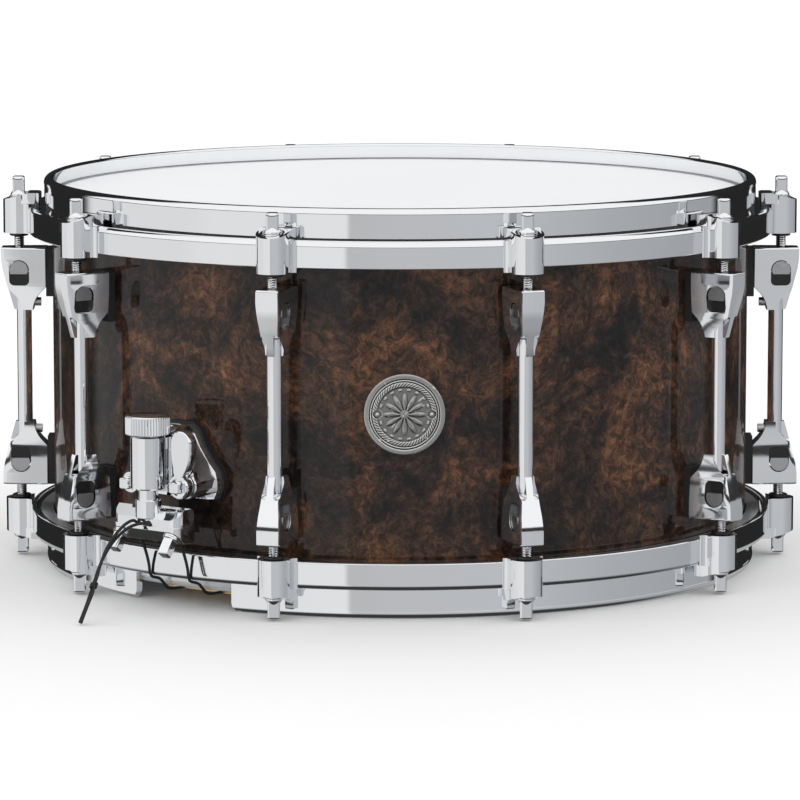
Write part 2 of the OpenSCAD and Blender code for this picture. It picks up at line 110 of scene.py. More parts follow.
def grid(rings, close_rings=False, close_ring=True, caps=True):
    """Joins rings with equal numbers of points by quads."""
    count, size = len(rings), len(rings[0])
    points = np.array([p for ring in rings for p in ring], float)
    faces = []
    for i in range(count if close_rings else count - 1):
        j = (i + 1) % count
        for k in range(size if close_ring else size - 1):
            m = (k + 1) % size
            faces.append((i * size + k, i * size + m, j * size + m, j * size + k))
    if caps and not close_rings:
        faces.append(tuple(range(size - 1, -1, -1)))
        faces.append(tuple(range((count - 1) * size, count * size)))
    return points, faces


def lathe(profile, steps=256):
    """Turns a closed outline of (radius, z) round the z axis."""
    rings = []
    for a in np.linspace(0, 2 * math.pi, steps, endpoint=False):
        rings.append([(r * math.cos(a), r * math.sin(a), z) for r, z in profile])
    return grid(rings, close_rings=True)


def turned(levels, steps=48, x=0.0, y=0.0):
    """A solid of (radius, z) levels about an upright axis. A radius may be a function of the angle."""
    rings = []
    for radius, z in levels:
        ring = []
        for a in np.linspace(0, 2 * math.pi, steps, endpoint=False):
            r = radius(a) if callable(radius) else radius
            ring.append((x + r * math.cos(a), y + r * math.sin(a), z))
        rings.append(ring)
    return grid(rings)


def outward(shape, x, y, z):
    """Lays an upright solid down so that its z axis points outward, from a place."""
    points, faces = shape
    moved = np.stack([points[:, 2] + x, points[:, 1] + y, -points[:, 0] + z], axis=1)
    return moved, faces


def sideways(outline, width, centre=0.0):
    """Extrudes an (x, z) outline across the station, centred on y = centre."""
    rings = [[(x, centre + side * width / 2, z) for x, z in outline] for side in (-1, 1)]
    return facing_out(grid(rings))


def facing(outline, start, end):
    """Extrudes a (y, z) outline outward, from x = start to x = end."""
    return facing_out(grid([[(x, y, z) for y, z in outline] for x in (start, end)]))


def upright(outline, start, end):
    """Extrudes an (x, y) outline upward, from z = start to z = end."""
    return facing_out(grid([[(x, y, z) for x, y in outline] for z in (start, end)]))


def curved_block(face, spread, steps, back, half, low, high):
    """A cutter near one station, whose outer face is round the drum's axis, spread degrees each way."""
    return upright(arc(0, 0, face, -spread, spread, steps) + [(back, half), (back, -half)], low, high)


def along(marks, z):
    """The value at height z, between marks of (height, value)."""
    return float(np.interp(z, [m[0] for m in marks], [m[1] for m in marks]))


def facing_out(shape):
    """Turns all faces outward."""
    mesh = to_mesh("turning", shape, 1.0)
    bm = bmesh.new()
    bm.from_mesh(mesh)
    bmesh.ops.recalc_face_normals(bm, faces=bm.faces)
    bm.to_mesh(mesh)
    bm.free()
    out = from_mesh(mesh)
    bpy.data.meshes.remove(mesh)
    return out


def to_mesh(name, shape, scale=MM):
    points, faces = shape
    mesh = bpy.data.meshes.new(name)
    mesh.from_pydata((np.asarray(points) * scale).tolist(), [], [tuple(f) for f in faces])
    mesh.update()
    return mesh


def from_mesh(mesh):
    points = np.array([v.co for v in mesh.vertices], float)
    return points, [tuple(p.vertices) for p in mesh.polygons]


def joined(shapes):
    points, faces, base = [], [], 0
    for p, f in shapes:
        points.append(p)
        faces += [tuple(i + base for i in face) for face in f]
        base += len(p)
    return np.concatenate(points), faces


def at_angle(shape, angle):
    """Puts a station's shape at its angle round the drum, measured from the front towards +X."""
    points, faces = shape
    a = math.radians(angle - 90)
    c, s = math.cos(a), math.sin(a)
    x, y = points[:, 0], points[:, 1]
    return np.stack([x * c - y * s, x * s + y * c, points[:, 2]], axis=1), faces


def mirrored(shape):
    """The upper half's shape turned upside down into the lower half."""
    points, faces = shape
    flipped = points.copy()
    flipped[:, 2] = DRUM_H - flipped[:, 2]
    return flipped, [tuple(reversed(f)) for f in faces]


def at_every_lug(shape, ends=2):
    placed = [at_angle(shape, a) for a in LUG_ANGLES]
    if ends == 2:
        placed += [mirrored(s) for s in placed]
    return joined(placed)


def worked(shape, cut=(), add=(), keep=(), bevel=0.0, segments=2, limit=30):
    """Joins, trims, cuts and bevels a solid, and returns the result. It is trimmed to what keep holds."""
    body = bpy.data.objects.new("worked", to_mesh("worked", shape, 1.0))
    bpy.context.scene.collection.objects.link(body)
    tools = []
    for kind, shapes in (("UNION", add), ("INTERSECT", keep), ("DIFFERENCE", cut)):
        for other in shapes:
            tool = bpy.data.objects.new("tool", to_mesh("tool", other, 1.0))
            bpy.context.scene.collection.objects.link(tool)
            tools.append(tool)
            step = body.modifiers.new(kind, "BOOLEAN")
            step.operation = kind
            step.object = tool
            step.solver = "EXACT"
    if bevel:
        step = body.modifiers.new("bevel", "BEVEL")
        step.width = bevel
        step.segments = segments
        step.limit_method = "ANGLE"
        step.angle_limit = math.radians(limit)
        step.use_clamp_overlap = True
    bpy.context.view_layer.update()
    evaluated = body.evaluated_get(bpy.context.evaluated_depsgraph_get())
    out = from_mesh(evaluated.to_mesh())
    evaluated.to_mesh_clear()
    for obj in [body] + tools:
        mesh = obj.data
        bpy.data.objects.remove(obj)
        bpy.data.meshes.remove(mesh)
    return out


def tube_along(route, radius, sides=10, across=(0, 1, 0)):
    """A round tube along a route that never runs parallel to across. radius may change along it."""
    route = np.array(route, float)
    across = np.array(across, float)
    rings = []
    for i, p in enumerate(route):
        ahead = route[min(i + 1, len(route) - 1)] - route[max(i - 1, 0)]
        ahead = ahead / np.linalg.norm(ahead)
        out = np.cross(ahead, across)
        out = out / np.linalg.norm(out)
        side = np.cross(out, ahead)
        r = radius(i / (len(route) - 1)) if callable(radius) else radius
        rings.append(
            [
                p + r * (math.cos(a) * out + math.sin(a) * side)
                for a in np.linspace(0, 2 * math.pi, sides, endpoint=False)
            ]
        )
    return facing_out(grid(rings))


def smooth_route(points, steps=4):
    """A Catmull-Rom curve through the points."""
    p = np.array(points, float)
    ext = np.concatenate([[2 * p[0] - p[1]], p, [2 * p[-1] - p[-2]]])
    out = []
    for i in range(1, len(ext) - 2):
        a, b, c, d = ext[i - 1], ext[i], ext[i + 1], ext[i + 2]
        for k in range(steps):
            t = k / steps
            out.append(
                0.5
                * (2 * b + (c - a) * t + (2 * a - 5 * b + 4 * c - d) * t**2 + (3 * b - a - 3 * c + d) * t**3)
            )
    out.append(p[-1])
    return out


# ---- materials ----


def node_material(name):
    material = bpy.data.materials.new(name)
    material.use_nodes = True
    tree = material.node_tree
    return material, tree, tree.nodes["Principled BSDF"]


def set_inputs(node, values):
    for name, value in values.items():
        node.inputs[name].default_value = value


def feed(tree, value, socket):
    """Links another node's output to a socket, or sets the socket to a constant."""
    if isinstance(value, bpy.types.NodeSocket):
        tree.links.new(value, socket)
    else:
        socket.default_value = value


def object_place(tree):
    """The place on the object, in metres."""
    for node in tree.nodes:
        if node.type == "TEX_COORD":
            return node.outputs["Object"]
    return tree.nodes.new("ShaderNodeTexCoord").outputs["Object"]


def noise(tree, scale, detail, roughness, distortion=0.0, vector=None, output="Fac"):
    node = tree.nodes.new("ShaderNodeTexNoise")
    set_inputs(node, {"Scale": scale, "Detail": detail, "Roughness": roughness, "Distortion": distortion})
    tree.links.new(vector or object_place(tree), node.inputs["Vector"])
    return node.outputs[output]


def ramp(tree, source, stops):
    """Turns a value into a colour, by stops of (place, colour)."""
    node = tree.nodes.new("ShaderNodeValToRGB")
    elements = node.color_ramp.elements
    while len(elements) < len(stops):
        elements.new(0.5)
    for element, (place, colour) in zip(elements, stops):
        element.position = place
        element.color = (*colour, 1.0)
    tree.links.new(source, node.inputs["Fac"])
    return node.outputs["Color"]


def mixed(tree, under, over, amount, blend="MIX"):
    node = tree.nodes.new("ShaderNodeMix")
    node.data_type = "RGBA"
    node.blend_type = blend
    for value, name in ((under, "A"), (over, "B"), (amount, "Factor")):
        feed(tree, value, node.inputs[name])
    return node.outputs["Result"]


def product(tree, a, b):
    node = tree.nodes.new("ShaderNodeMath")
    node.operation = "MULTIPLY"
    feed(tree, a, node.inputs[0])
    feed(tree, b, node.inputs[1])
    return node.outputs["Value"]


def mapped(tree, source, start, end, low=0.0, high=1.0):
    """Maps a value from the range start to end onto the range low to high."""
    node = tree.nodes.new("ShaderNodeMapRange")
    set_inputs(node, {"From Min": start, "From Max": end, "To Min": low, "To Max": high})
    tree.links.new(source, node.inputs["Value"])
    return node.outputs["Result"]


def grey(v):
    return (v, v, v)


def tint_from(tree, shader, source, dark, light):
    """Lets a texture vary the base colour between two colours."""
    tree.links.new(ramp(tree, source, [(0.3, dark), (0.7, light)]), shader.inputs["Base Color"])


def rough_from(tree, shader, source, low, high):
    """Lets a texture vary the roughness between two values."""
    tree.links.new(mapped(tree, source, 0.0, 1.0, low, high), shader.inputs["Roughness"])


def add_bump(tree, shader, height, strength, distance=0.0002):
    bump = tree.nodes.new("ShaderNodeBump")
    set_inputs(bump, {"Strength": strength, "Distance": distance})
    tree.links.new(height, bump.inputs["Height"])
    tree.links.new(bump.outputs["Normal"], shader.inputs["Normal"])


def chrome(name, low, high, ripple):
    """Bright plating: slight smears in the gloss and a very shallow polishing ripple."""
    material, tree, shader = node_material(name)
    shader.inputs["Metallic"].default_value = 1.0
    smear = noise(tree, 60.0, 3.0, 0.6)
    tint_from(tree, shader, smear, tuple(c * 0.985 for c in CHROME), CHROME)
    rough_from(tree, shader, smear, low, high)
    add_bump(tree, shader, noise(tree, 24.0, 1.0, 0.4), ripple, 0.002)
    return material


def burl_lacquer():
    """Dark burl: swirled brown figure with red-brown blotches and pale flecks, under a clear gloss coat."""
    material, tree, shader = node_material("burl_lacquer")
    drift = noise(tree, 9.0, 3.0, 0.5, output="Color")
    swirl = tree.nodes.new("ShaderNodeVectorMath")
    swirl.operation = "MULTIPLY_ADD"
    swirl.inputs[1].default_value = (0.035, 0.035, 0.035)
    tree.links.new(drift, swirl.inputs[0])
    tree.links.new(object_place(tree), swirl.inputs[2])
    warped = swirl.outputs["Vector"]
    cloud = noise(tree, 24.0, 8.0, 0.68, 0.7, warped)
    browns = [
        (0.33, (0.005, 0.004, 0.004)),
        (0.43, (0.013, 0.0075, 0.006)),
        (0.51, (0.034, 0.016, 0.009)),
        (0.59, (0.066, 0.028, 0.0135)),
        (0.70, (0.120, 0.052, 0.024)),
    ]
    base = ramp(tree, cloud, browns)
    figure = noise(tree, 210.0, 8.0, 0.78, 0.8, warped)
    lines = ramp(tree, figure, [(0.38, grey(0.2)), (0.5, grey(0.9)), (0.62, grey(2.3))])
    figured = mixed(tree, base, lines, 1.0, "MULTIPLY")
    eyes = tree.nodes.new("ShaderNodeTexVoronoi")
    eyes.feature = "SMOOTH_F1"
    eyes.inputs["Scale"].default_value = 150.0
    tree.links.new(warped, eyes.inputs["Vector"])
    spots = ramp(tree, eyes.outputs["Distance"], [(0.05, grey(1.0)), (0.28, grey(0.0))])
    where = ramp(tree, cloud, [(0.52, grey(0.0)), (0.66, grey(1.0))])
    flecked = mixed(tree, figured, (0.15, 0.075, 0.034, 1), product(tree, spots, where))
    tree.links.new(flecked, shader.inputs["Base Color"])
    set_inputs(shader, {"Roughness": 0.45, "Specular IOR Level": 0.1})
    set_inputs(shader, {"Coat Weight": 0.6, "Coat Roughness": 0.02, "Coat IOR": 1.5})
    return material


def plain_wood():
    """The pale ply inside the shell."""
    material, tree, shader = node_material("shell_inside")
    stretch = tree.nodes.new("ShaderNodeMapping")
    stretch.inputs["Scale"].default_value = (1.0, 1.0, 14.0)
    tree.links.new(object_place(tree), stretch.inputs["Vector"])
    grain = noise(tree, 22.0, 5.0, 0.6, 0.3, stretch.outputs["Vector"])
    tint_from(tree, shader, grain, (0.50, 0.33, 0.18), (0.66, 0.48, 0.29))
    shader.inputs["Roughness"].default_value = 0.5
    return material


def coated_film():
    """A sprayed white batter coating: matt, with a fine orange-peel grain."""
    material, tree, shader = node_material("batter_coating")
    spray = noise(tree, 900.0, 3.0, 0.6)
    tint_from(tree, shader, noise(tree, 8.0, 2.0, 0.5), (0.845, 0.855, 0.875), (0.87, 0.878, 0.892))
    rough_from(tree, shader, spray, 0.5, 0.7)
    shader.inputs["Specular IOR Level"].default_value = 0.3
    add_bump(tree, shader, spray, 0.12)
    return material


def hazy_film():
    """The thin, half clear film under the snares."""
    material, tree, shader = node_material("snare_film")
    haze = noise(tree, 14.0, 3.0, 0.5)
    tint_from(tree, shader, haze, (0.80, 0.82, 0.83), (0.86, 0.88, 0.89))
    rough_from(tree, shader, haze, 0.12, 0.2)
    shader.inputs["Transmission Weight"].default_value = 0.35
    return material


def antique_badge():
    """Worn nickel: bright on the raised edges, dark oxide left in the hollows."""
    material, tree, shader = node_material("badge_metal")
    shader.inputs["Metallic"].default_value = 1.0
    raised = tree.nodes.new("ShaderNodeNewGeometry").outputs["Pointiness"]
    oxide, nickel, worn = (0.06, 0.06, 0.055), (0.34, 0.34, 0.33), (0.95, 0.94, 0.91)
    wear = ramp(tree, raised, [(0.46, oxide), (0.5, nickel), (0.54, worn)])
    grain = noise(tree, 1500.0, 3.0, 0.6)
    tree.links.new(mixed(tree, wear, grain, 0.3, "MULTIPLY"), shader.inputs["Base Color"])
    rough_from(tree, shader, grain, 0.28, 0.42)
    add_bump(tree, shader, grain, 0.15)
    return material


def grained(name, metallic, dark, light, low, high, scale, strength):
    """A surface with a fine grain and slightly uneven colour and gloss."""
    material, tree, shader = node_material(name)
    shader.inputs["Metallic"].default_value = metallic
    grain = noise(tree, scale, 5.0, 0.65) if metallic else noise(tree, scale, 4.0, 0.6)
    tint_from(tree, shader, grain, dark, light)
    rough_from(tree, shader, grain, low, high)
    add_bump(tree, shader, grain, strength)
    return material


def worked_metal(name, dark, light, *grain):
    """Turned or drawn metal."""
    return grained(name, 1.0, dark, light, *grain)


def dark_polymer(name, colour, *grain):
    """Black rubber, plastic or cord."""
    return grained(name, 0.0, tuple(c * 0.75 for c in colour), tuple(c * 1.3 for c in colour), *grain)


CHROME = (0.90, 0.91, 0.925)
PLATINGS = [  # name, least and most roughness, depth of the ripple
    ("hoop_chrome", 0.03, 0.06, 0.02),
    ("chrome", 0.04, 0.09, 0.03),
    ("satin_chrome", 0.3, 0.36, 0.03),
]
METALS = [  # name, dark and light colours, least and most roughness, scale and strength of the grain
    ("screw_steel", (0.46, 0.46, 0.47), (0.64, 0.64, 0.65), 0.25, 0.4, 1800.0, 0.2),
    ("aluminium_hoop", (0.7, 0.7, 0.71), (0.82, 0.82, 0.83), 0.3, 0.4, 700.0, 0.1),
    ("snare_wire_steel", (0.55, 0.55, 0.56), (0.74, 0.74, 0.75), 0.2, 0.3, 1500.0, 0.1),
    ("brass_plate", (0.55, 0.36, 0.13), (0.72, 0.50, 0.22), 0.25, 0.35, 900.0, 0.15),
]
POLYMERS = [  # name, colour, least and most roughness, scale and strength of the grain
    ("black_plastic", grey(0.012), 0.25, 0.4, 900.0, 0.1),
    ("black_rubber", (0.014, 0.014, 0.016), 0.5, 0.7, 1400.0, 0.3),
    ("black_cord", grey(0.010), 0.45, 0.65, 3000.0, 0.6),
]
MATERIALS = {
    "burl_lacquer": burl_lacquer(),
    "shell_inside": plain_wood(),
    "badge_metal": antique_badge(),
    "batter_coating": coated_film(),
    "snare_film": hazy_film(),
}
for make, rows in ((chrome, PLATINGS), (worked_metal, METALS), (dark_polymer, POLYMERS)):
    for row in rows:
        MATERIALS[row[0]] = make(*row)


# ---- making objects ----


def piece(name, shape, material, body, nodes=(), sharp=35, smooth=True):
    """A finished object in metres that rides on a body and stands for CAD nodes."""
    mesh = to_mesh(name, shape)
    mesh.materials.append(MATERIALS[material])
    if smooth:
        mesh.polygons.foreach_set("use_smooth", [True] * len(mesh.polygons))
        mesh.set_sharp_from_angle(angle=math.radians(sharp))
    obj = bpy.data.objects.new(name, mesh)
    bpy.context.scene.collection.objects.link(obj)
    if smooth and body:
        flat = obj.modifiers.new("flat_faces", "WEIGHTED_NORMAL")
        flat.keep_sharp = True
    if body:
        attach(obj, body)
    if nodes:
        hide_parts(*nodes)
    return obj


def dress(node, material):
    """Gives a CAD node that is shown as it is a better material."""
    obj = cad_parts[node]
    obj.data.materials.clear()
    obj.data.materials.append(MATERIALS[material])


# ---- shell and heads ----


def make_shell():
    """The shell: each bearing edge slopes up from the inside to its peak, and has a round outer corner."""
    inner = SHELL_R - SHELL_WALL
    corner, slope = 2.0, 62
    drop = 2.95
    rise = APEX_R - inner
    low = DRUM_H - EDGE_Z
    levels = list(np.linspace(low + drop, EDGE_Z - drop, 9))
    profile = [(inner, low + rise), (APEX_R, low)]
    profile += arc(SHELL_R - corner, low + drop, corner, -slope, 0, 4)
    profile += [(SHELL_R, z) for z in levels[1:-1]]
    profile += arc(SHELL_R - corner, EDGE_Z - drop, corner, 0, slope, 4)
    profile += [(APEX_R, EDGE_Z), (inner, EDGE_Z - rise)]
    shape = lathe(profile, 288)
    obj = piece("shell_veneered", shape, "burl_lacquer", "drum", ["shell"], sharp=40)
    obj.data.materials.append(MATERIALS["shell_inside"])
    inside = SHELL_R - 1.0
    for face in obj.data.polygons:
        if all(math.hypot(*obj.data.vertices[i].co[:2]) < inside * MM for i in face.vertices):
            face.material_index = 1


def film_profile():
    """A head's film: flat inside the bearing edge, then turned down outside the shell."""
    turn = SHELL_R + 0.8
    return (
        [(0.01, EDGE_Z), (60, EDGE_Z), (120, EDGE_Z), (APEX_R - 1, EDGE_Z)]
        + [(APEX_R + 0.1, EDGE_Z), (turn - FILM_T, EDGE_Z - 3.45), (turn - FILM_T, EDGE_Z - 9.8)]
        + [(turn, EDGE_Z - 9.8), (turn, EDGE_Z - 3.35), (APEX_R + 1.0, EDGE_Z - 0.7)]
        + [(APEX_R + 0.4, EDGE_Z + 0.12), (APEX_R - 0.6, EDGE_Z + FILM_T)]
        + [(120, EDGE_Z + FILM_T), (60, EDGE_Z + FILM_T), (0.01, EDGE_Z + FILM_T)]
    )


def make_heads():
    film = lathe(film_profile(), 256)
    piece("batter_film", film, "batter_coating", "drum", ["batter_head_film"], sharp=60)
    piece("snare_side_film", mirrored(film), "snare_film", "drum", ["snare_head_film"], sharp=60)
    dress("batter_head_hoop", "aluminium_hoop")
    dress("snare_head_hoop", "aluminium_hoop")


# ---- hoops ----


def hoop_profile():
    """The folded section: rolled rim, collar, sharp crease, ledge with a rounded corner, and skirt."""
    inner = COLLAR_R - HOOP_T
    rim_in = inner - 1.8
    rim_low = EDGE_Z + 0.65
    bead = 3.0
    bead_r = COLLAR_R + 0.2
    return (
        [(inner + 0.9, LEDGE_Z - HOOP_T), (inner, LEDGE_Z - HOOP_T + 0.9), (inner, rim_low - 0.3)]
        + [(inner - 0.3, rim_low), (rim_in + 0.5, rim_low), (rim_in, rim_low + 0.5)]
        + arc(rim_in + 1.4, DRUM_H - 1.4, 1.4, 180, 90, 7)
        + arc(bead_r - bead, DRUM_H - bead, bead, 90, 0, 12)
        + [(bead_r, DRUM_H - bead - 0.35), (COLLAR_R, DRUM_H - bead - 0.35)]
        + [(COLLAR_R, LEDGE_Z)]
        + arc(SKIRT_R - 3.0, LEDGE_Z - 3.0, 3.0, 90, 0, 12)
        + [(SKIRT_R, LEDGE_Z - 4.5), (SKIRT_R, SKIRT_Z + 0.9)]
        + arc(SKIRT_R - 0.6, SKIRT_Z + 0.6, 0.6, 0, -90, 3)
        + arc(SKIRT_R - HOOP_T + 0.6, SKIRT_Z + 0.6, 0.6, -90, -180, 3)
        + [(SKIRT_R - HOOP_T, LEDGE_Z - HOOP_T - 0.9), (SKIRT_R - HOOP_T - 0.9, LEDGE_Z - HOOP_T)]
    )


def gate_cutter():
    """What is cut from the lower hoop where the snares' cord passes."""
    half = 29.5
    top = 14.0
    r = 5.0
    outline = (
        [(-half, top), (-half, r)]
        + arc(-half - r, r, r, 0, -90, 8)
        + [(-half - r, -2), (half + r, -2)]
        + arc(half + r, r, r, 270, 180, 8)
        + [(half, top)]
    )
    return facing(outline, COLLAR_R - 9, COLLAR_R + 3)


def make_hoops():
    ring = lathe(hoop_profile(), 360)
    piece("upper_hoop", ring, "hoop_chrome", "drum", ["top_hoop"], sharp=50)
    cutters = [at_angle(gate_cutter(), a) for a in (STRAINER, BUTT)]
    lower = worked(facing_out(mirrored(ring)), cut=cutters)
    piece("lower_hoop", lower, "hoop_chrome", "drum", ["bottom_hoop"], sharp=50)


# ---- claws, rods and lugs ----


def claw_shape():
    """A cast claw: barrel, web to the skirt with a flared pad, and a rounded nose over the ledge."""
    low, high = 167.4, 191.0
    barrel = 8.0
    waist = 7.9
    pad = 10.4
    face = SKIRT_R + 0.05
    flare = 2.5
    side = [(ROD_R, waist), (192.6, waist)] + arc(192.6, waist + flare, flare, 270, 186, 7)[1:]
    side += [(face - 1.0, pad)]
    web = upright(side + [(x, -y) for x, y in reversed(side)], low, LEDGE_Z)
    nose_in = 184.0
    edge = [(ROD_R - 1, 7.3), (190.5, 8.3), (187.0, 8.5)] + arc(nose_in + 2.4, 6.1, 2.4, 90, 180, 6)
    nose = upright(edge + [(x, -y) for x, y in reversed(edge)], LEDGE_Z + 0.03, high)
    slant = [
        (nose_in - 3, 187.0), (nose_in + 1.4, 188.2), (190.0, 188.2), (ROD_R + 9, 184.2),
        (ROD_R + 9, 195), (nose_in - 3, 195),
    ]
    shape = worked(
        turned([(barrel, low), (barrel, high)], 56, ROD_R),
        add=[web, nose],
        cut=[
            sideways(slant, 40),
            curved_block(face, 7, 40, 170, 24, 150, LEDGE_Z),
            turned([(5.6, 184.6), (5.6, 200)], 40, ROD_R),
        ],
        bevel=0.4,
    )
    rod_hole = turned([(3.0, 150), (3.0, 200)], 32, ROD_R)
    return worked(shape, cut=[rod_hole])


def lug_shape():
    """A lofted casting with chamfered flanks, then the window, the tube socket and the fork pockets."""
    top, low = 160.05, 127.75
    chamfer, rounding = 2.3, 1.1
    half_width = [(low, 5.2), (146.0, 7.4), (153.5, 7.85), (top, 7.75)]
    outer = [(low, 197.9), (129.6, 198.5), (140.2, 201.4), (149.5, 203.7), (154.0, 204.3), (top, 204.4)]
    inner = [(low, 188.1), (129.5, 187.9), (132.0, 187.2), (134.5, 186.0), (136.6, 184.4), (138.4, 182.6)]
    inner += [(139.8, LUG_BACK), (top, LUG_BACK)]
    heights = [low, 129.6, 132, 134.5, 136.6, 138.4, 139.8, 142, 146, 149.5, 152, 154, 156.4]
    heights += [top - rounding * s for s in (1.3, 1.0, 0.75, 0.5, 0.28, 0.1, 0.0)]
    rings = []
    for z in heights:
        x_out, x_in, w = along(outer, z), along(inner, z), along(half_width, z)
        near_top = max(0.0, 1 - (top - z) / rounding)
        pull = rounding * 0.7 * (1 - math.sqrt(max(0.0, 1 - near_top**2)))
        w -= pull
        x_out -= pull * 0.7
        flank = min(chamfer, 0.34 * w)
        side = [(x_in, w - 0.3), (x_in + 0.3, w), (x_out - flank * 0.7, w - flank * 0.74), (x_out, w - flank)]
        side += [(x_out + 0.1, 0.6)]
        ring = side + [(x, -y) for x, y in reversed(side)]
        rings.append([(x, y, z) for x, y in ring])
    body = facing_out(grid(rings))
    centre, half, corner, sill = ROD_R - 0.2, 5.15, 2.6, 140.4
    window = arc(centre, 148.45, half, 0, 180, 16)
    window += arc(centre - half + corner, sill + corner, corner, 180, 270, 6)
    window += arc(centre + half - corner, sill + corner, corner, 270, 360, 6)
    pockets = []
    for side in (-1, 1):
        outline = [(side * y, z) for y, z in [(1.7, 126)] + arc(3.2, 136.8, 1.5, 180, 0, 8) + [(4.8, 126)]]
        pockets.append(facing(outline, 193.4, 206))
    shape = worked(body, cut=[sideways(window, 30)] + pockets, bevel=0.32, limit=38)
    rod_hole = turned([(3.1, 150), (3.1, 170)], 32, ROD_R)
    tube_socket = turned([(3.82, 120), (3.82, 136.0)], 40, TUBE_R)
    screw_hole = outward(turned([(2.5, 0), (2.5, 12)], 24), 187.6 - 12, 0, 131.6)
    return worked(shape, cut=[rod_hole, tube_socket, screw_hole])


def rod_shape(angle):
    """A tension rod: square head on a cone and flange, plain shank, and a cut thread.

    The head points the same way at every station.
    """
    turn = math.radians(angle)
    pitch = 1.06
    major, minor = 2.65, 2.2
    turns_z = np.arange(141.8, 167.4, pitch / 6)
    levels = [(minor - 0.5, 141.5)]
    for z in turns_z:
        levels.append((lambda a, z=z: thread_radius(a, z, pitch, major, minor), z))
    shank = turned(levels + [(minor, 167.5), (minor, 186.2)], 24, ROD_R)

    def square(a):
        return min(3.0 / max(abs(math.cos(a + turn)), abs(math.sin(a + turn))), 3.75)

    def head_level(z, shrink=0.0):
        cone = 4.1 - (z - 187.3) * 0.62
        return (lambda a, c=cone, s=shrink: max(square(a) - s, c) if c > 2.0 else square(a) - s, z)

    flange = [(3.6, 186.25), (4.2, 186.35), (4.2, 187.1), (4.05, 187.3)]
    cone_z = (187.4, 187.8, 188.2, 188.6, 189.0, 189.4, 189.8, 190.3, 190.9)
    heads = [head_level(z) for z in cone_z + (192, 194, 195.5)]
    heads += [head_level(195.9, 0.15), head_level(196.15, 0.45), head_level(196.3, 0.95)]
    head = turned(flange + heads, 96, ROD_R)
    return joined([shank, head])


def thread_radius(a, z, pitch, major, minor):
    phase = (z / pitch - a / (2 * math.pi)) % 1.0
    return minor + (major - minor) * (1 - abs(2 * phase - 1)) ** 0.8


def ring_shape(outer, inner, low, high, edge=0.25):
    profile = [
        (inner, low + edge), (inner + edge, low), (outer - edge, low), (outer, low + edge),
        (outer, high - edge), (outer - edge, high), (inner + edge, high), (inner, high - edge),
    ]
    points, faces = lathe(profile, 40)
    points = points + np.array([ROD_R, 0, 0])
    return points, faces


def make_fittings():
    piece("claws", at_every_lug(claw_shape()), "chrome", "drum", ["hoop_claws"], sharp=32)
    piece("lugs", at_every_lug(lug_shape()), "chrome", "drum", ["lug_castings"], sharp=32)
    washers = at_every_lug(ring_shape(4.8, 2.9, 185.0, 186.2, 0.3))
    piece("washers", washers, "chrome", "drum", ["rod_washers"])
    collars = at_every_lug(ring_shape(4.9, 2.9, 165.7, 167.4, 0.5))
    piece("collars", collars, "black_plastic", "drum", ["claw_collars"])
    tube = turned([(3.8, DRUM_H - 135.9), (3.8, 80), (3.8, 118), (3.8, 135.9)], 40, TUBE_R)
    piece("tubes", at_every_lug(tube, ends=1), "chrome", "drum", ["lug_tubes"])
    for i, angle in enumerate(LUG_ANGLES, 1):
        placed = at_angle(rod_shape(angle), angle)
        for side, shape in (("top", placed), ("bottom", mirrored(placed))):
            node = f"tension_rod_{side}_{i:02d}"
            piece(f"rod_{side}_{i:02d}", shape, "chrome", node, [node], sharp=30)
    dress("lug_gaskets", "black_rubber")
    dress("swivel_nuts", "screw_steel")
    dress("nut_inserts", "black_plastic")
    dress("lug_screws", "screw_steel")
    dress("tube_set_screws", "screw_steel")


# ---- badge and vent ----


